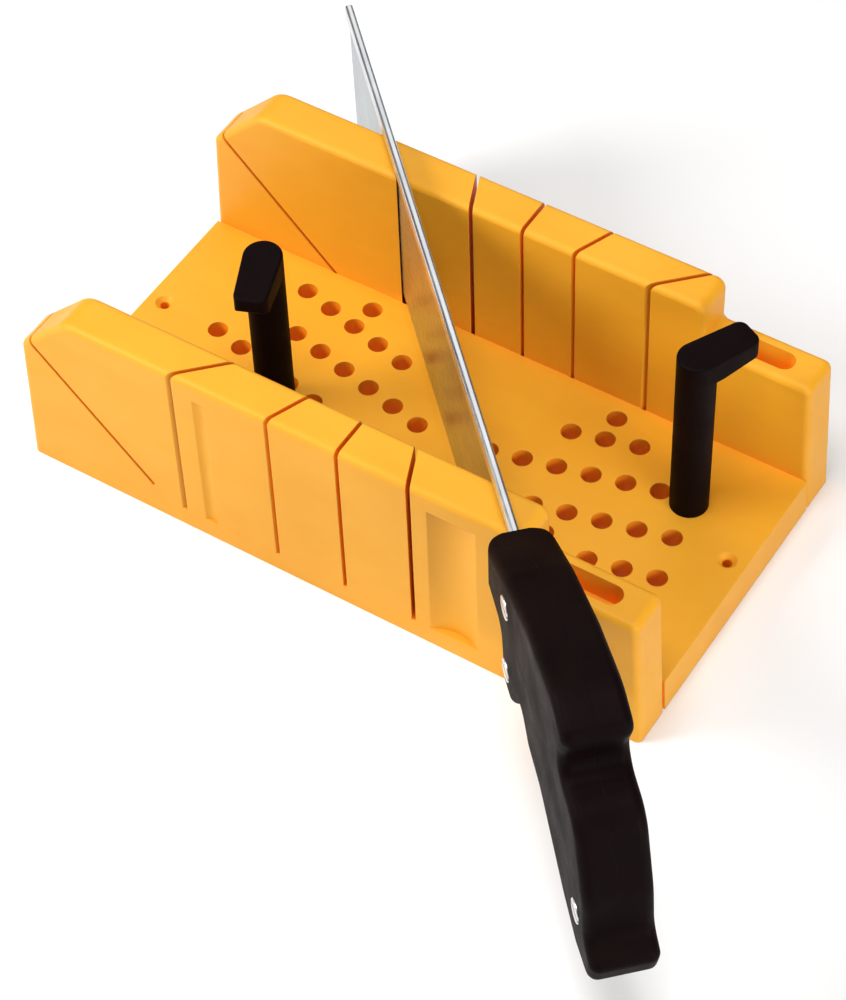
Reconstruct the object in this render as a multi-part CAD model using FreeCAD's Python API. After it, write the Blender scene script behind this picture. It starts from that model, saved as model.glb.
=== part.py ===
import FreeCAD, Part
import math
import os
from FreeCAD import Placement, Rotation, Vector

# Mitre box with two cam pegs and a back saw standing in its 45 degree slots.
# Frame: millimetres, +Z up, X along the box, Y across it, origin at the middle of the bottom face.

# ---- driving dimensions of the box ----
LENGTH = 362.0           # at the bottom; both ends lean inwards
END_LEAN = 0.045         # inward lean of each end, per millimetre of height
WIDTH = 194.0
WALL_TOP = 114.0
WALL_THICK = 24.5
FLOOR_TOP = 21.5
SKIN = 3.2
RIB = 2.4
RIB_PITCH = 29.0

# ---- ends of the two walls ----
RAMP_LOW = 84.0          # height of the wall at its left end, where the bevel ramp starts
STEP_TOP = 87.5          # height of the lowered right end
STEP_MARGIN = 7.0        # wall left between the last slot and the step down
RAMP_ROUND = 14.0
STEP_ROUND = 6.0
STEP_FOOT_ROUND = 3.0
EDGE_ROUND = 3.5         # along the top edges of the walls

# ---- saw guide slots ----
CROSS_X = 13.0           # all upright slots cross above this point of the centre line
KERF = 2.2
SLOT_ANGLES = (-45.0, -22.5, 0.0, 22.5, 45.0)
SLOT_BOTTOM = 12.0
BEVEL_START = 5.5        # where the bevel slot meets the ramp, from the left end
BEVEL_BOTTOM = 20.0

# ---- scooped recesses in the outer faces ----
# each (from x, to x, depth)
PANELS = ((63.0, 90.0, 4.0), (-71.0, -63.0, 1.5))
PANEL_TOP_GAP = 12.0     # wall left above a recess

# ---- long pockets in the tops of the lowered ends ----
POCKET_FROM_STEP = 8.0
POCKET_FROM_END = 15.0   # from the top of the leaning end
POCKET_WIDTH = 12.0
POCKET_DEPTH = 15.0

# ---- peg holes ----
# Rows are mirrored about FIELD_X: (x and y of hole 0, tilt, holes on the left, on the right).
FIELD_X = 2.7
HOLE_PITCH = 18.2
HOLE_RADIUS = 5.4
BOSS_WALL = 2.2
HOLE_ROWS = (
    (74.5, 60.0, 0.0, (0, 1), (0, 1)),
    (41.0, 36.3, 14.0, (0, 5), (1, 4)),
    (11.1, 4.1, 13.5, (0, 6), (1, 8)),
    (66.2, -10.6, 13.5, (0, 5), (0, 5)),
    (80.5, -23.5, 0.0, (0, 1), (0, 1)),
    (107.5, -27.0, 12.0, (0, 3), (0, 3)),
)

# ---- bench screws ----
SCREW_FROM_END = 11.0
SCREW_Y = 8.0
SCREW_RADIUS = 2.5
SCREW_HEAD_RADIUS = 5.0
SCREW_BOSS_RADIUS = 6.5

# ---- cam pegs ----
PEG_FIT = 0.08           # radial running clearance of the pin in its hole
PEG_PIN_LENGTH = 16.0
PEG_RADIUS = 10.0
PEG_OFFSET = 4.0
LEVER_OVER_WALL = 4.0    # gap under the lever as it turns over a wall
PEG_FLOOR_GAP = 0.3
PEG_PIN_CHAMFER = 1.0
LEVER_REACH = 32.0
LEVER_WIDTH = 17.0
LEVER_THICK = 10.0
LEVER_ROOT = 3.0         # extra depth of the lever where it meets the column
LEVER_LOW_ROUND = 4.0
LEVER_TIP_ROUND = 5.0
LEVER_EDGE_ROUND = 1.6

# each (node, side, row, hole in the row, direction of the lever)
PEGS = (
    ("cam_peg_right", 1, 2, 7, 64.0),
    ("cam_peg_left", -1, 4, 0, -68.0),
)

# ---- saw ----
SAW_ANGLE = -45.0
SAW_LIFT = 5.5           # height of the back above the wall tops
BACK_HEIGHT = 7.0
BACK_WIDTH = 4.4
BACK_SKIN = 1.5          # metal above the blade inside the folded back
BLADE_THICK = 0.9
TIP_OVERHANG = 86.0      # blade beyond the outer face of the far wall
TEETH_OVER_FLOOR = 7.0
TIP_SLANT = 7.0
TOOTH_PITCH = 2.8
TOOTH_DEPTH = 1.8
TOOTH_LEAN = 0.7         # where a tooth's point lies within its pitch
BACK_PAST_TIP = 0.5
BACK_ROUND = 1.75
BACK_INTO_HANDLE = 24.0

# ---- saw handle: points are (distance behind its nose, height above the bottom face) ----
NOSE_GAP = 0.3           # between the handle's nose and the near wall
NOSE_FLAT = 1.0
HANDLE_THICK = 32.0
HANDLE_ROUND = 5.0
BOLT_RADIUS = 3.0
BOLT_HEAD_RADIUS = 6.0
BOLT_HEAD_THICK = 2.0
BOLT_HEAD_PROUD = 0.6    # head above the face of the handle
BOLT_HEAD_ROUND = 0.5
BOLT_END_GAP = 3.0       # from the far face of the handle to the end of a bolt
BOLT_SLOT_WIDTH = 1.2
BOLT_SLOT_DEPTH = 1.0
NUT_RADIUS = 4.6
NUT_LENGTH = 9.0
NUT_BORE_LENGTH = 8.0
BOLT_FIT = 0.15
# side outline, each (behind the nose, above the back's lower edge, corner radius)
HANDLE_OUTLINE = (
    (0.0, 8.5, 3.0), (42.0, 31.0, 40.0), (86.0, 48.0, 60.0), (126.0, 56.0, 30.0),
    (149.0, 49.0, 7.0), (137.0, 20.0, 9.0), (169.0, 18.0, 20.0), (185.0, -20.0, 40.0),
    (188.0, -42.0, 8.0), (200.0, -49.0, 5.0), (195.0, -66.0, 8.0), (173.0, -69.0, 12.0),
    (150.0, -62.0, 40.0), (108.0, -41.0, 20.0), (86.0, -38.0, 6.0), (71.0, -24.0, 8.0),
    (56.0, -48.0, 5.0), (39.0, -48.0, 6.0), (34.0, -15.0, 6.0), (0.0, -14.0, 4.0),
)
TANG_START = 26.0
HEEL_BEFORE_NOSE = 3.0
# tang of the blade inside the handle, measured as the handle's outline is
TANG_OUTLINE = (
    (38.0, 20.0), (52.0, 20.0), (52.0, -40.0), (44.0, -44.0),
)
BOLT_PLACES = ((45.0, 12.0), (46.0, -33.0))
GRIP_BOLT = (172.0, -42.0)


def box(x0, x1, y0, y1, z0, z1):
    """Box between two corners."""
    return Part.makeBox(x1 - x0, y1 - y0, z1 - z0, Vector(x0, y0, z0))


def cylinder(x, y, z0, z1, radius):
    """Upright cylinder."""
    return Part.makeCylinder(radius, z1 - z0, Vector(x, y, z0))


def save(shape, node):
    """Write one sub-part."""
    shape.exportStep(os.path.join("parts", node + ".step"))


# ---------------------------------------------------------------- box
def step_x():
    """Where the walls step down, just past the outer mouth of the last slot."""
    return CROSS_X + WIDTH / 2 + STEP_MARGIN


def wall_outline():
    """Side outline of a wall in XZ: ramp at the left, full height, lowered right end."""
    x0 = -LENGTH / 2
    x1 = LENGTH / 2
    ramp_x = x0 + END_LEAN * RAMP_LOW
    step = step_x()
    ramp_end = ramp_x + WALL_TOP - RAMP_LOW
    points = (
        (x0, 0.0), (ramp_x, RAMP_LOW), (ramp_end, WALL_TOP),
        (step, WALL_TOP), (step, STEP_TOP), (x1 - END_LEAN * STEP_TOP, STEP_TOP), (x1, 0.0),
    )
    return [Vector(x, 0.0, z) for x, z in points]


def rounded(points, radii):
    """Closed outline through the points, with an arc of the given radius at each corner."""
    count = len(points)
    edges = []
    ends = []
    for i in range(count):
        corner = points[i]
        before = (points[i - 1] - corner).normalize()
        after = (points[(i + 1) % count] - corner).normalize()
        half = before.getAngle(after) / 2
        reach = radii[i] / math.tan(half)
        start = corner + before * reach
        end = corner + after * reach
        middle = corner + (before + after).normalize() * (radii[i] / math.sin(half) - radii[i])
        if radii[i] > 0:
            edges.append(Part.Arc(start, middle, end).toShape())
        ends.append((start, end))
    for i in range(count):
        start = ends[i][1]
        end = ends[(i + 1) % count][0]
        if (end - start).Length > 1e-6:
            edges.append(Part.LineSegment(start, end).toShape())
    return Part.Wire(Part.__sortEdges__(edges))


def wall(side):
    """Solid wall; side is -1 for the near wall and +1 for the far wall."""
    corner = EDGE_ROUND + 1.0
    outline = rounded(wall_outline(), (0, corner, RAMP_ROUND, STEP_ROUND, STEP_FOOT_ROUND, corner, 0))
    face = Part.Face(outline)
    solid = face.extrude(Vector(0.0, WALL_THICK, 0.0))
    rim = [e for e in solid.Edges if e.BoundBox.YLength < 0.01 and e.BoundBox.ZMin > RAMP_LOW / 2]
    solid = solid.makeFillet(EDGE_ROUND, rim)
    y = WIDTH / 2 - WALL_THICK if side > 0 else -WIDTH / 2
    solid.translate(Vector(0.0, y, 0.0))
    return solid


def slot_plate(angle, thickness, low, high):
    """Upright plate through the crossing point, turned by angle from the Y direction."""
    reach = LENGTH
    plate = box(-thickness / 2, thickness / 2, -reach, reach, low, high)
    plate.Placement = Placement(Vector(CROSS_X, 0.0, 0.0), Rotation(Vector(0, 0, 1), angle))
    return plate


def bevel_plate(thickness, width, past=0.0):
    """Plate of the 45 degree bevel slot, running down and right from the ramp, along Y."""
    start_x = -LENGTH / 2 + END_LEAN * RAMP_LOW + BEVEL_START
    start_z = RAMP_LOW + BEVEL_START
    length = (start_z - BEVEL_BOTTOM + past) * math.sqrt(2.0)
    plate = box(-20.0, length, -width / 2, width / 2, -thickness / 2, thickness / 2)
    plate.Placement = Placement(Vector(start_x, 0.0, start_z), Rotation(Vector(0, 1, 0), 45.0))
    return plate


def wall_zone(side, low=-5.0):
    """Space of one wall, from a little outside its outer face to its inner face."""
    inner = WIDTH / 2 - WALL_THICK
    outer = WIDTH / 2 + 5.0
    y0, y1 = (inner, outer) if side > 0 else (-outer, -inner)
    return box(-LENGTH, LENGTH, y0, y1, low, WALL_TOP + 10.0)


def slots():
    """All the saw guide slots, cut in the walls only."""
    plates = [slot_plate(a, KERF, SLOT_BOTTOM, WALL_TOP + 10.0) for a in SLOT_ANGLES]
    plates.append(bevel_plate(KERF, WIDTH + 20.0))
    every = plates[0].multiFuse(plates[1:])
    zones = wall_zone(1).fuse(wall_zone(-1))
    return every.common(zones)


def wall_cavity(side):
    """Hollow inside one wall, open below, closed off beside every slot."""
    inner = WIDTH / 2 - WALL_THICK + SKIN
    outer = WIDTH / 2 - max(depth for x0, x1, depth in PANELS) - SKIN
    y0, y1 = (inner, outer) if side > 0 else (-outer, -inner)
    x1 = LENGTH / 2 - END_LEAN * STEP_TOP - SKIN
    step = step_x() - SKIN
    space = box(-x1, step, y0, y1, -1.0, WALL_TOP - SKIN)
    ramp_wedge = slot_free_ramp(y0, y1)
    low_end = box(step - 1.0, x1, y0, y1, -1.0, STEP_TOP - SKIN)
    space = space.cut(ramp_wedge).fuse(low_end).cut(pocket(side, SKIN))
    guard = KERF + 2 * SKIN
    blocks = [slot_plate(a, guard, -5.0, WALL_TOP + 10.0) for a in SLOT_ANGLES]
    blocks.append(bevel_plate(guard, WIDTH + 20.0, SKIN))
    blocks += rib_plates(-LENGTH / 2, LENGTH / 2)
    return space.cut(blocks)


def pocket(side, grow=0.0):
    """Long round-ended pocket in the top of a lowered end, grown by a wall on every side."""
    r = POCKET_WIDTH / 2 + grow
    x0 = step_x() + POCKET_FROM_STEP + POCKET_WIDTH / 2
    x1 = LENGTH / 2 - END_LEAN * STEP_TOP - POCKET_FROM_END - POCKET_WIDTH / 2
    y = side * (WIDTH - WALL_THICK) / 2
    low = STEP_TOP - POCKET_DEPTH - grow
    high = STEP_TOP + 1.0
    ends = [cylinder(x, y, low, high, r) for x in (x0, x1)]
    return box(x0, x1, y - r, y + r, low, high).multiFuse(ends)


def slot_free_ramp(y0, y1):
    """Wedge above the ramp, moved in by the skin."""
    x0 = -LENGTH / 2 + END_LEAN * RAMP_LOW
    inset = SKIN * math.sqrt(2.0)
    corner = [
        Vector(x0 - 1.0, y0 - 1.0, RAMP_LOW - inset - 1.0),
        Vector(x0 - 1.0, y0 - 1.0, WALL_TOP + 1.0),
        Vector(x0 + WALL_TOP - RAMP_LOW + inset + 1.0, y0 - 1.0, WALL_TOP + 1.0),
    ]
    face = Part.Face(Part.makePolygon(corner + [corner[0]]))
    return face.extrude(Vector(0.0, y1 - y0 + 2.0, 0.0))


def rib_plates(x0, x1):
    """Cross ribs under the box, one of them at X = 0."""
    count = int(x1 / RIB_PITCH)
    return [
        box(i * RIB_PITCH - RIB / 2, i * RIB_PITCH + RIB / 2, -WIDTH, WIDTH, -5.0, WALL_TOP)
        for i in range(-count, count + 1)
    ]


def peg_hole(side, row, i):
    """Centre of hole i of a row; side is -1 for the left field and +1 for the right."""
    x, y, tilt = HOLE_ROWS[row][:3]
    dx = i * HOLE_PITCH * math.cos(math.radians(tilt))
    dy = i * HOLE_PITCH * math.sin(math.radians(tilt))
    return FIELD_X + side * (x + dx), y + dy


def peg_holes():
    """Centres of the peg holes of both fields; the pattern keeps only holes that lie on the floor."""
    centres = []
    for row in range(len(HOLE_ROWS)):
        left, right = HOLE_ROWS[row][3:]
        centres += [peg_hole(-1, row, i) for i in range(*left)]
        centres += [peg_hole(1, row, i) for i in range(*right)]
    reach = HOLE_RADIUS + BOSS_WALL
    half_x = LENGTH / 2 - END_LEAN * FLOOR_TOP - reach
    half_y = WIDTH / 2 - WALL_THICK - reach
    return [(x, y) for x, y in centres if abs(x) < half_x and abs(y) < half_y]


def screw_holes():
    """Centres of the two bench screw holes."""
    x = LENGTH / 2 - SCREW_FROM_END
    return [(-x, SCREW_Y), (x, SCREW_Y)]


def floor_cavity():
    """Hollow under the floor, less its ribs and the bosses of all holes."""
    inner = WIDTH / 2 - WALL_THICK
    x1 = LENGTH / 2 - END_LEAN * FLOOR_TOP - SKIN
    space = box(-x1, x1, -inner, inner, -1.0, FLOOR_TOP - SKIN)
    blocks = rib_plates(-x1, x1)
    rows = int(inner / RIB_PITCH)
    for j in range(-rows, rows + 1):
        y = j * RIB_PITCH
        blocks.append(box(-LENGTH, LENGTH, y - RIB / 2, y + RIB / 2, -5.0, FLOOR_TOP))
    for x, y in peg_holes():
        blocks.append(cylinder(x, y, -5.0, FLOOR_TOP, HOLE_RADIUS + BOSS_WALL))
    for x, y in screw_holes():
        blocks.append(cylinder(x, y, -5.0, FLOOR_TOP, SCREW_BOSS_RADIUS))
    return space.cut(blocks)


def panel_recesses():
    """Upright scoops in the outer faces of both walls."""
    cuts = []
    for x0, x1, depth in PANELS:
        half = (x1 - x0) / 2
        radius = (half * half + depth * depth) / (2 * depth)
        for side in (-1, 1):
            y = side * (WIDTH / 2 - depth + radius)
            cuts.append(cylinder((x0 + x1) / 2, y, SLOT_BOTTOM, WALL_TOP - PANEL_TOP_GAP, radius))
    return cuts


def make_box():
    """The moulded mitre box."""
    inner = WIDTH / 2 - WALL_THICK
    lean = END_LEAN * FLOOR_TOP
    half = LENGTH / 2
    corners = [
        Vector(-half, 0, 0), Vector(-half + lean, 0, FLOOR_TOP),
        Vector(half - lean, 0, FLOOR_TOP), Vector(half, 0, 0),
    ]
    floor = Part.Face(Part.makePolygon(corners + corners[:1])).extrude(Vector(0.0, 2 * inner, 0.0))
    floor.translate(Vector(0.0, -inner, 0.0))
    body = floor.multiFuse([wall(-1), wall(1)])
    body = body.cut(panel_recesses() + [pocket(-1), pocket(1)])
    body = body.cut([wall_cavity(-1), wall_cavity(1), floor_cavity()])
    holes = [cylinder(x, y, -1.0, FLOOR_TOP + 1.0, HOLE_RADIUS) for x, y in peg_holes()]
    for x, y in screw_holes():
        holes.append(cylinder(x, y, -1.0, FLOOR_TOP + 1.0, SCREW_RADIUS))
        sink = SCREW_HEAD_RADIUS - SCREW_RADIUS
        low = Vector(x, y, FLOOR_TOP - sink)
        holes.append(Part.makeCone(SCREW_RADIUS, SCREW_HEAD_RADIUS, sink, low))
    body = body.cut(holes)
    return body.cut(slots()).removeSplitter()


# ---------------------------------------------------------------- cam pegs
def peg_top():
    """Height of the top of the pegs."""
    return WALL_TOP + LEVER_OVER_WALL + LEVER_ROOT + LEVER_THICK


def make_peg(hole, lever_angle):
    """Cam peg: pin in the hole, column offset away from the lever, lever on top."""
    x, y = hole
    turn = math.radians(lever_angle)
    cx = x - PEG_OFFSET * math.cos(turn)
    cy = y - PEG_OFFSET * math.sin(turn)
    foot = FLOOR_TOP + PEG_FLOOR_GAP
    pin = cylinder(x, y, FLOOR_TOP - PEG_PIN_LENGTH, foot + 1.0, HOLE_RADIUS - PEG_FIT)
    low_rim = [edge for edge in pin.Edges if edge.BoundBox.ZMax < foot - 1.0]
    pin = pin.makeChamfer(PEG_PIN_CHAMFER, low_rim)
    head = lever_head()
    top = [edge for edge in head.Edges if edge.BoundBox.ZMin > peg_top() - 0.1]
    head = head.makeFillet(LEVER_EDGE_ROUND, top)
    head = head.fuse(cylinder(0.0, 0.0, foot, peg_top() - LEVER_THICK, PEG_RADIUS))
    head.rotate(Vector(0, 0, 0), Vector(0, 0, 1), lever_angle)
    head.translate(Vector(cx, cy, 0.0))
    return head.fuse(pin).removeSplitter()


def lever_head():
    """Lever pointing along X: round over the column, narrower and thinner at its blunt tip."""
    half = LEVER_WIDTH / 2
    flare = math.asin(PEG_RADIUS / math.hypot(LEVER_REACH, half)) - math.atan2(half, LEVER_REACH)
    wide = PEG_RADIUS * (1 + math.sin(flare)) / math.cos(flare)
    low = peg_top() - LEVER_THICK - LEVER_ROOT
    plan = [
        Vector(-PEG_RADIUS, wide, low), Vector(LEVER_REACH, half, low),
        Vector(LEVER_REACH, -half, low), Vector(-PEG_RADIUS, -wide, low),
    ]
    face = Part.Face(rounded(plan, (PEG_RADIUS, LEVER_TIP_ROUND, LEVER_TIP_ROUND, PEG_RADIUS)))
    block = face.extrude(Vector(0.0, 0.0, peg_top() - low))
    back = -PEG_RADIUS - 1.0
    side = [
        Vector(back, back, peg_top()), Vector(LEVER_REACH, back, peg_top()),
        Vector(LEVER_REACH, back, peg_top() - LEVER_THICK), Vector(PEG_RADIUS, back, low),
        Vector(back, back, low),
    ]
    outline = Part.Face(rounded(side, (0, 0, LEVER_LOW_ROUND, 0, 0)))
    return block.common(outline.extrude(Vector(0.0, -2 * back, 0.0)))


# ---------------------------------------------------------------- saw
def place_saw(shape):
    """Put a shape drawn with X along the blade into the 45 degree slots."""
    shape = shape.copy()
    shape.rotate(Vector(0, 0, 0), Vector(0, 0, 1), SAW_ANGLE)
    shape.translate(Vector(CROSS_X / 2, CROSS_X / 2, 0.0))
    return shape


def blade_tip():
    """Far end of the blade along the saw."""
    return CROSS_X / math.sqrt(2.0) - WIDTH / math.sqrt(2.0) - TIP_OVERHANG


def handle_nose():
    """Front of the handle along the saw; its round nose just clears the near wall."""
    half = HANDLE_THICK / 2
    nose = half - NOSE_FLAT
    wall_line = (WIDTH + CROSS_X) / math.sqrt(2.0)
    return wall_line + half - 2 * nose + math.sqrt(2.0) * (nose + NOSE_GAP)


def back_low():
    """Lower edge of the saw's folded back."""
    return WALL_TOP + SAW_LIFT


def blade_low():
    """Points of the saw's teeth."""
    return FLOOR_TOP + TEETH_OVER_FLOOR


def blade_outline(toothed):
    """Closed side outline of the blade."""
    top = back_low() + BACK_HEIGHT - BACK_SKIN
    low = blade_low()
    points = [Vector(blade_tip(), 0.0, top), Vector(handle_nose() + TANG_START, 0.0, top)]
    points += [Vector(handle_nose() + x, 0.0, back_low() + z) for x, z in TANG_OUTLINE]
    heel = handle_nose() - HEEL_BEFORE_NOSE
    points.append(Vector(heel, 0.0, low + TOOTH_DEPTH))
    start = blade_tip() + TIP_SLANT
    if toothed:
        count = int((heel - start) / TOOTH_PITCH)
        first = start + count * TOOTH_PITCH
        for i in range(count):
            x = first - i * TOOTH_PITCH
            if i > 0:
                points.append(Vector(x, 0.0, low + TOOTH_DEPTH))
            points.append(Vector(x - TOOTH_PITCH * TOOTH_LEAN, 0.0, low))
    points.append(Vector(start, 0.0, low + TOOTH_DEPTH))
    return Part.Face(Part.makePolygon(points + [points[0]]))


def make_blade(toothed=True):
    """Steel blade, upright, centred on the saw plane."""
    blade = blade_outline(toothed).extrude(Vector(0.0, BLADE_THICK, 0.0))
    blade.translate(Vector(0.0, -BLADE_THICK / 2, 0.0))
    return blade.cut(bolt_shanks(BOLT_RADIUS))


def make_back():
    """Folded steel back over the blade's upper edge."""
    low = back_low()
    high = low + BACK_HEIGHT
    end = handle_nose() + BACK_INTO_HANDLE
    strip = box(blade_tip() - BACK_PAST_TIP, end, -BACK_WIDTH / 2, BACK_WIDTH / 2, low, high)
    along = [e for e in strip.Edges if e.BoundBox.XLength > 100 and e.BoundBox.ZMin > high - 1]
    strip = strip.makeFillet(BACK_ROUND, along)
    return strip.cut(make_blade(False))


def bolt_centres():
    """Handle bolts as (distance along the saw, height)."""
    return [(handle_nose() + x, back_low() + z) for x, z in BOLT_PLACES + (GRIP_BOLT,)]


def bolt_shanks(radius):
    """Cylinders across the handle at the bolts."""
    length = HANDLE_THICK + 20.0
    return [
        Part.makeCylinder(radius, length, Vector(x, -length / 2, z), Vector(0, 1, 0))
        for x, z in bolt_centres()
    ]


def handle_face():
    """Side outline of the handle in XZ."""
    corners = [Vector(handle_nose() + x, 0.0, back_low() + z) for x, z, r in HANDLE_OUTLINE]
    radii = [r for x, z, r in HANDLE_OUTLINE]
    return Part.Face(rounded(corners, radii))


def nose_plan():
    """Upright solid that rounds the handle's nose in plan."""
    half = HANDLE_THICK / 2
    reach = handle_nose() + 260.0
    plan = [
        Vector(handle_nose(), -half, 0.0), Vector(reach, -half, 0.0),
        Vector(reach, half, 0.0), Vector(handle_nose(), half, 0.0),
    ]
    nose = half - NOSE_FLAT
    solid = Part.Face(rounded(plan, (nose, 0, 0, nose))).extrude(Vector(0.0, 0.0, 2 * WALL_TOP + 100.0))
    solid.translate(Vector(0.0, 0.0, -WALL_TOP))
    return solid


def make_handle_half(side, fillings):
    """One shell of the handle; side -1 or +1, with the seats of the blade, back and bolts cut out."""
    half = handle_face().extrude(Vector(0.0, side * HANDLE_THICK / 2, 0.0))
    rim = [edge for edge in half.Edges if abs(edge.BoundBox.Center.y * 2) > HANDLE_THICK - 0.01]
    rim = [edge for edge in rim if edge.BoundBox.YLength < 0.01]
    half = half.makeFillet(HANDLE_ROUND, rim)
    half = half.common(nose_plan())
    return half.cut(fillings)


def across(radius, x, y, z, length):
    """Cylinder across the saw, from y on."""
    return Part.makeCylinder(radius, length, Vector(x, y, z), Vector(0, 1, 0))


def make_bolts():
    """Slotted-head bolts, heads on the left side of the handle."""
    solids = []
    face = -HANDLE_THICK / 2
    top = face - BOLT_HEAD_PROUD
    for x, z in bolt_centres():
        shank = across(BOLT_RADIUS - BOLT_FIT, x, face, z, HANDLE_THICK - BOLT_END_GAP)
        head = across(BOLT_HEAD_RADIUS, x, top, z, BOLT_HEAD_THICK)
        rim = [edge for edge in head.Edges if edge.BoundBox.YMax < top + 0.1]
        head = head.makeFillet(BOLT_HEAD_ROUND, rim)
        slot = box(
            x - BOLT_HEAD_RADIUS, x + BOLT_HEAD_RADIUS, top - 1.0, top + BOLT_SLOT_DEPTH,
            z - BOLT_SLOT_WIDTH / 2, z + BOLT_SLOT_WIDTH / 2,
        )
        solids.append(head.fuse(shank).cut(slot).removeSplitter())
    return solids


def make_nuts():
    """Barrel nuts, heads on the right side of the handle, over the ends of the bolts."""
    solids = []
    top = HANDLE_THICK / 2 + BOLT_HEAD_PROUD
    low = top - BOLT_HEAD_THICK
    for x, z in bolt_centres():
        head = across(BOLT_HEAD_RADIUS, x, low, z, BOLT_HEAD_THICK)
        rim = [edge for edge in head.Edges if edge.BoundBox.YMin > top - 0.1]
        head = head.makeFillet(BOLT_HEAD_ROUND, rim)
        barrel = across(NUT_RADIUS, x, low - NUT_LENGTH, z, NUT_LENGTH)
        bore = across(BOLT_RADIUS - BOLT_FIT, x, low - NUT_LENGTH, z, NUT_BORE_LENGTH)
        solids.append(head.fuse(barrel).cut(bore).removeSplitter())
    return solids


def saw_parts():
    """All pieces of the saw, drawn with X along the blade."""
    blade = make_blade()
    back = make_back()
    bolts = make_bolts()
    nuts = make_nuts()
    bores = bolt_shanks(BOLT_RADIUS - BOLT_FIT)
    left = make_handle_half(-1, [blade, back] + bolts)
    right = make_handle_half(1, [blade, back] + bolts + nuts + bores)
    return {
        "saw_blade": blade,
        "saw_back": back,
        "handle_left_shell": left,
        "handle_right_shell": right,
        "handle_bolts": Part.Compound(bolts),
        "handle_nuts": Part.Compound(nuts),
    }


def main():
    """Build and write every sub-part."""
    os.makedirs("parts", exist_ok=True)
    save(make_box(), "mitre_box")
    for node, side, row, i, angle in PEGS:
        save(make_peg(peg_hole(side, row, i), angle), node)
    for node, shape in saw_parts().items():
        save(place_saw(shape), node)


main()
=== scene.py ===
import math

import bpy
from mathutils import Matrix, Vector


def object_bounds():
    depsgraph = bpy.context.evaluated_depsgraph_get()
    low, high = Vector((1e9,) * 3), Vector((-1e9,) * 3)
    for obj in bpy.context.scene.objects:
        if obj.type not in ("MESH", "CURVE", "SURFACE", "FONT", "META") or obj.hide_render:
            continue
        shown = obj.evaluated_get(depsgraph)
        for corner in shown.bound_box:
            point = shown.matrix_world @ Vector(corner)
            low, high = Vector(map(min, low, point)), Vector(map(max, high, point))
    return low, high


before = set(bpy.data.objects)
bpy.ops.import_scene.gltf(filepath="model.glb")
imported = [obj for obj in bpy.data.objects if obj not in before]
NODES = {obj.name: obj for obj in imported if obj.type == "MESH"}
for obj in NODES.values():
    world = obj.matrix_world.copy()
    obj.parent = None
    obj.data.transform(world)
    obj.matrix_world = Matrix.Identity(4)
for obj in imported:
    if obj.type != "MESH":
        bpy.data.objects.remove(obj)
CAD_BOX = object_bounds()

MM = 0.001
BEVEL_SAMPLES = 6
GLOW_MASK_SAMPLES = 6
FLOOR_HALF = 6.0
FLOOR_GAP = 0.2 * MM    # the floor lies this far under the object, so that the faces don't coincide

# Camera: the direction that it looks from, its turn about its own axis, and its place
CAMERA_AZIMUTH = 34.2
CAMERA_ELEVATION = 50.45
CAMERA_ROLL = -2.52
CAMERA_AT = Vector((0.58109, -0.86121, 1.22877))
CAMERA_LENS = 112.2
CAMERA_SENSOR = 36.0

# Light: each lamp is (name, azimuth, elevation, distance, width, power)
LAMPS = (
    ("key", -50.0, 36.0, 1.6, 0.75, 18.8),
    ("side", 72.0, 20.0, 1.7, 0.8, 14.5),
    ("top", 20.0, 80.0, 1.8, 0.9, 20.0),
    ("back", 214.0, 48.0, 1.8, 1.5, 6.0),
)
WORLD_LIGHT = 0.08


def direction(azimuth, elevation):
    """The unit vector towards an azimuth, from -Y towards +X, and an elevation, in degrees."""
    a, e = math.radians(azimuth), math.radians(elevation)
    return Vector((math.sin(a) * math.cos(e), -math.cos(a) * math.cos(e), math.sin(e)))


def make_camera():
    data = bpy.data.cameras.new("camera")
    data.sensor_width = CAMERA_SENSOR
    data.lens = CAMERA_LENS
    data.clip_start, data.clip_end = 0.1, 20.0
    camera = bpy.data.objects.new("camera", data)
    bpy.context.scene.collection.objects.link(camera)
    back = direction(CAMERA_AZIMUTH, CAMERA_ELEVATION)
    a, roll = math.radians(CAMERA_AZIMUTH), math.radians(CAMERA_ROLL)
    level = Vector((math.cos(a), math.sin(a), 0))
    raised = back.cross(level)
    right = math.cos(roll) * level + math.sin(roll) * raised
    up = -math.sin(roll) * level + math.cos(roll) * raised
    turn = Matrix((right, up, back)).transposed().to_4x4()
    camera.matrix_world = Matrix.Translation(CAMERA_AT) @ turn
    bpy.context.scene.camera = camera


def area_light(name, azimuth, elevation, distance, size, power):
    data = bpy.data.lights.new(name, "AREA")
    data.shape = "DISK"
    data.size = size
    data.energy = power
    lamp = bpy.data.objects.new(name, data)
    bpy.context.scene.collection.objects.link(lamp)
    towards = direction(azimuth, elevation)
    lamp.location = towards * distance
    lamp.rotation_mode = "QUATERNION"
    lamp.rotation_quaternion = towards.to_track_quat("Z", "Y")


def make_world():
    world = bpy.data.worlds.new("studio")
    world.use_nodes = True
    background = world.node_tree.nodes["Background"]
    background.inputs["Color"].default_value = (1.0, 1.0, 1.0, 1.0)
    background.inputs["Strength"].default_value = WORLD_LIGHT
    bpy.context.scene.world = world
    bpy.context.scene.view_settings.view_transform = "Standard"


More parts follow.
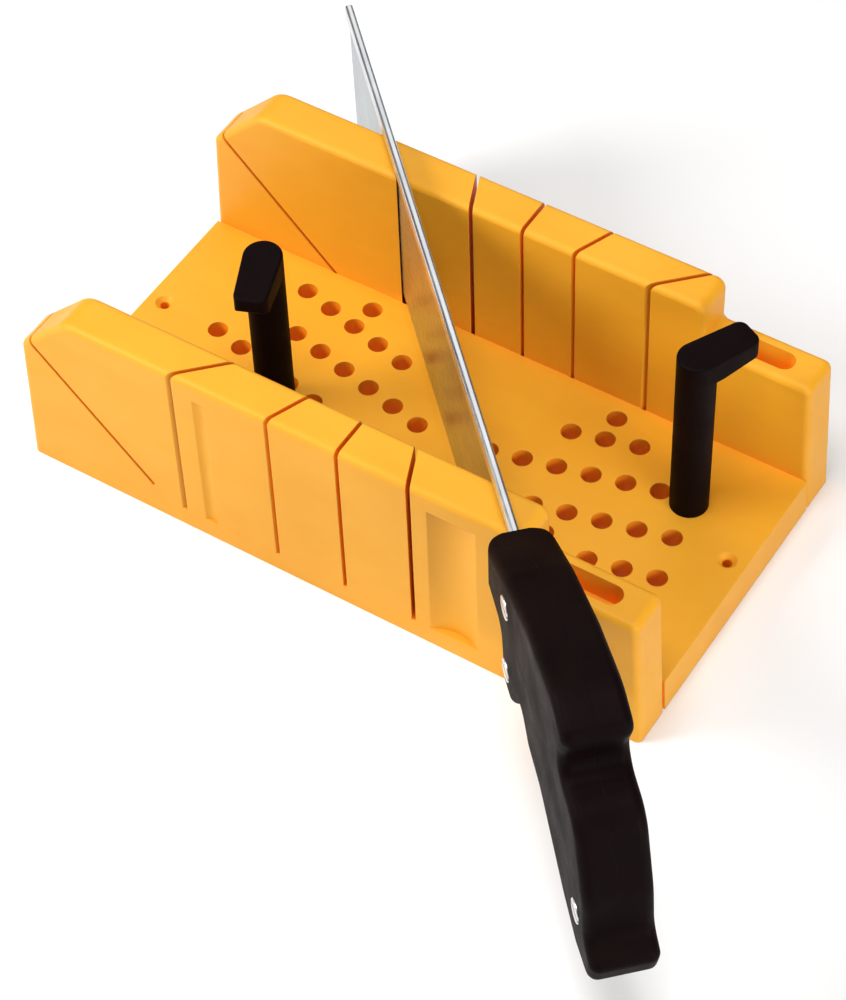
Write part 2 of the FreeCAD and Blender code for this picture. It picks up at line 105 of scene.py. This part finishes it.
class Surface:
    """A node material with one principled shader, and short calls for the nodes that feed it."""

    def __init__(self, name, **sockets):
        self.material = bpy.data.materials.new(name)
        self.material.use_nodes = True
        self.tree = self.material.node_tree
        self.tree.nodes.clear()
        output = self.tree.nodes.new("ShaderNodeOutputMaterial")
        self.shader = self.tree.nodes.new("ShaderNodeBsdfPrincipled")
        self.link(self.shader.outputs["BSDF"], output.inputs["Surface"])
        for socket, value in sockets.items():
            self.shader.inputs[socket.replace("_", " ")].default_value = value
        self.place = self.tree.nodes.new("ShaderNodeTexCoord").outputs["Object"]

    def link(self, source, target):
        self.tree.links.new(source, target)

    def feed(self, socket, value):
        if hasattr(value, "is_output"):
            self.link(value, socket)
        else:
            socket.default_value = value

    def turned(self, degrees, stretch):
        """The object's own coordinates turned about Z, then scaled along each axis."""
        turn = self.tree.nodes.new("ShaderNodeMapping")
        turn.inputs["Rotation"].default_value = (0, 0, math.radians(degrees))
        self.link(self.place, turn.inputs["Vector"])
        scale = self.tree.nodes.new("ShaderNodeMapping")
        scale.inputs["Scale"].default_value = stretch
        self.link(turn.outputs["Vector"], scale.inputs["Vector"])
        return scale.outputs["Vector"]

    def noise(self, scale, detail=3.0, roughness=0.5, place=None):
        node = self.tree.nodes.new("ShaderNodeTexNoise")
        node.inputs["Scale"].default_value = scale
        node.inputs["Detail"].default_value = detail
        node.inputs["Roughness"].default_value = roughness
        self.link(place or self.place, node.inputs["Vector"])
        return node.outputs["Fac"]

    def spread(self, value, low, high, to_low=0.0, to_high=1.0):
        node = self.tree.nodes.new("ShaderNodeMapRange")
        self.feed(node.inputs["Value"], value)
        node.inputs["From Min"].default_value = low
        node.inputs["From Max"].default_value = high
        node.inputs["To Min"].default_value = to_low
        node.inputs["To Max"].default_value = to_high
        return node.outputs["Result"]

    def math(self, operation, a, b=0.0):
        node = self.tree.nodes.new("ShaderNodeMath")
        node.operation = operation
        self.feed(node.inputs[0], a)
        self.feed(node.inputs[1], b)
        return node.outputs[0]

    def mix(self, share, a, b):
        node = self.tree.nodes.new("ShaderNodeMix")
        node.data_type = "RGBA"
        self.feed(node.inputs["Factor"], share)
        self.feed(node.inputs["A"], a if hasattr(a, "is_output") else (*a, 1.0))
        self.feed(node.inputs["B"], b if hasattr(b, "is_output") else (*b, 1.0))
        return node.outputs["Result"]

    def soft_edges(self, radius):
        """The surface's normal, turned as if its sharp edges were rounded."""
        bevel = self.tree.nodes.new("ShaderNodeBevel")
        bevel.samples = BEVEL_SAMPLES
        bevel.inputs["Radius"].default_value = radius
        return bevel.outputs["Normal"]

    def edges(self, radius):
        """1 on the object's sharp edges and 0 away from them."""
        geometry = self.tree.nodes.new("ShaderNodeNewGeometry")
        along = self.tree.nodes.new("ShaderNodeVectorMath")
        along.operation = "DOT_PRODUCT"
        self.link(self.soft_edges(radius), along.inputs[0])
        self.link(geometry.outputs["Normal"], along.inputs[1])
        return self.spread(along.outputs["Value"], 1.0, 0.8)

    def painted_glow_mask(self, distance):
        """1 deep in holes, slots and pockets and 0 on open faces; it marks where shade and glow are
        painted in.
        """
        shade = self.tree.nodes.new("ShaderNodeAmbientOcclusion")
        shade.samples = GLOW_MASK_SAMPLES
        shade.only_local = True
        shade.inputs["Distance"].default_value = distance
        return self.spread(shade.outputs["AO"], 0.62, 0.25)

    def bump(self, height, depth, strength, under=None):
        """The normal with a relief on it, over another normal if one is given."""
        node = self.tree.nodes.new("ShaderNodeBump")
        node.inputs["Strength"].default_value = strength
        node.inputs["Distance"].default_value = depth
        self.feed(node.inputs["Height"], height)
        if under is not None:
            self.link(under, node.inputs["Normal"])
        return node.outputs["Normal"]

    def finish(self, colour, roughness=None, normal=None):
        """Feed the shader's colour, roughness and normal, and give the material back."""
        for socket, value in (("Base Color", colour), ("Roughness", roughness), ("Normal", normal)):
            if value is not None:
                self.feed(self.shader.inputs[socket], value)
        return self.material


def yellow_plastic():
    s = Surface("yellow_plastic", Specular_IOR_Level=0.22)
    patches = s.noise(14.0, detail=4.0)
    flow = s.noise(60.0, detail=5.0, place=s.turned(0.0, (0.35, 1.0, 1.0)))
    grain = s.noise(900.0, detail=2.0)
    base = s.mix(s.spread(patches, 0.35, 0.65), (0.79, 0.350, 0.018), (0.83, 0.385, 0.024))
    base = s.mix(s.spread(flow, 0.45, 0.8, 0.0, 0.25), base, (0.76, 0.30, 0.014))
    # Painted shade and glow: holes, slots and pockets get a deeper red-orange, standing in for
    # light bounced inside them and shone through the plastic.
    base = s.mix(s.painted_glow_mask(14 * MM), base, (0.98, 0.27, 0.006))
    worn = s.math("MULTIPLY", s.edges(0.9 * MM), s.spread(s.noise(120.0), 0.35, 0.6, 0.1, 0.5))
    base = s.mix(worn, base, (0.86, 0.50, 0.08))
    rough = s.spread(s.math("ADD", grain, flow), 0.7, 1.3, 0.36, 0.52)
    relief = s.math("ADD", grain, s.math("MULTIPLY", flow, 0.6))
    return s.finish(base, rough, s.bump(relief, 0.08 * MM, 0.5, s.soft_edges(0.6 * MM)))


def black_plastic(name, tint):
    s = Surface(name, IOR=1.2, Specular_IOR_Level=0.2)
    patches = s.noise(30.0, detail=4.0)
    grain = s.noise(1300.0, detail=2.0)
    handled = s.noise(45.0, detail=3.0)
    base = s.mix(s.spread(patches, 0.35, 0.7), tint, tuple(1.5 * c for c in tint))
    worn = s.math("MULTIPLY", s.edges(0.7 * MM), s.spread(s.noise(200.0), 0.4, 0.65, 0.05, 0.45))
    base = s.mix(worn, base, (0.014, 0.010, 0.009))
    rough = s.spread(s.math("ADD", handled, s.math("MULTIPLY", grain, 0.5)), 0.55, 1.0, 0.5, 0.68)
    return s.finish(base, rough, s.bump(grain, 0.09 * MM, 0.5, s.soft_edges(0.7 * MM)))


def blade_steel():
    s = Surface("blade_steel", Metallic=1.0)
    along = s.turned(45.0, (1.0, 30.0, 30.0))
    strokes = s.noise(60.0, detail=6.0, roughness=0.7, place=along)
    stain = s.noise(22.0, detail=5.0)
    base = s.mix(s.spread(stain, 0.4, 0.7), (0.44, 0.49, 0.50), (0.35, 0.39, 0.40))
    rough = s.spread(strokes, 0.3, 0.7, 0.22, 0.38)
    return s.finish(base, rough, s.bump(strokes, 0.02 * MM, 0.35))


def spine_steel():
    s = Surface("spine_steel", Metallic=1.0)
    along = s.turned(45.0, (1.0, 14.0, 14.0))
    strokes = s.noise(45.0, detail=5.0, roughness=0.6, place=along)
    marks = s.spread(s.noise(35.0, detail=4.0), 0.4, 0.65)
    base = s.mix(marks, (0.78, 0.79, 0.80), (0.66, 0.68, 0.70))
    rough = s.spread(strokes, 0.3, 0.7, 0.22, 0.40)
    return s.finish(base, rough, s.bump(strokes, 0.03 * MM, 0.4, s.soft_edges(0.5 * MM)))


def bolt_steel():
    s = Surface("bolt_steel", Metallic=1.0)
    marks = s.noise(700.0, detail=4.0)
    base = s.mix(s.spread(marks, 0.4, 0.7), (0.70, 0.70, 0.68), (0.52, 0.51, 0.49))
    return s.finish(base, s.spread(marks, 0.3, 0.7, 0.25, 0.42), s.bump(marks, 0.03 * MM, 0.4))


def floor_material():
    s = Surface("floor", Roughness=0.9, Specular_IOR_Level=0.1)
    return s.finish(s.mix(s.noise(3.0), (0.90, 0.90, 0.90), (0.92, 0.92, 0.92)))


def make_floor(material):
    mesh = bpy.data.meshes.new("floor")
    turns = ((-1, -1), (1, -1), (1, 1), (-1, 1))
    corners = [(x * FLOOR_HALF, y * FLOOR_HALF, 0) for x, y in turns]
    mesh.from_pydata(corners, [], [(0, 1, 2, 3)])
    floor = bpy.data.objects.new("floor", mesh)
    floor.location.z = CAD_BOX[0].z - FLOOR_GAP
    mesh.materials.append(material)
    bpy.context.scene.collection.objects.link(floor)


def paint(name, material):
    mesh = NODES[name].data
    mesh.materials.clear()
    mesh.materials.append(material)


make_camera()
make_world()
for lamp in LAMPS:
    area_light(*lamp)
make_floor(floor_material())

paint("mitre_box", yellow_plastic())
peg_black = black_plastic("peg_black", (0.0042, 0.0016, 0.0016))
handle_black = black_plastic("handle_black", (0.0045, 0.0016, 0.0015))
for node in ("cam_peg_left", "cam_peg_right"):
    paint(node, peg_black)
for node in ("handle_left_shell", "handle_right_shell"):
    paint(node, handle_black)
paint("saw_blade", blade_steel())
paint("saw_back", spine_steel())
for node in ("handle_bolts", "handle_nuts"):
    paint(node, bolt_steel())
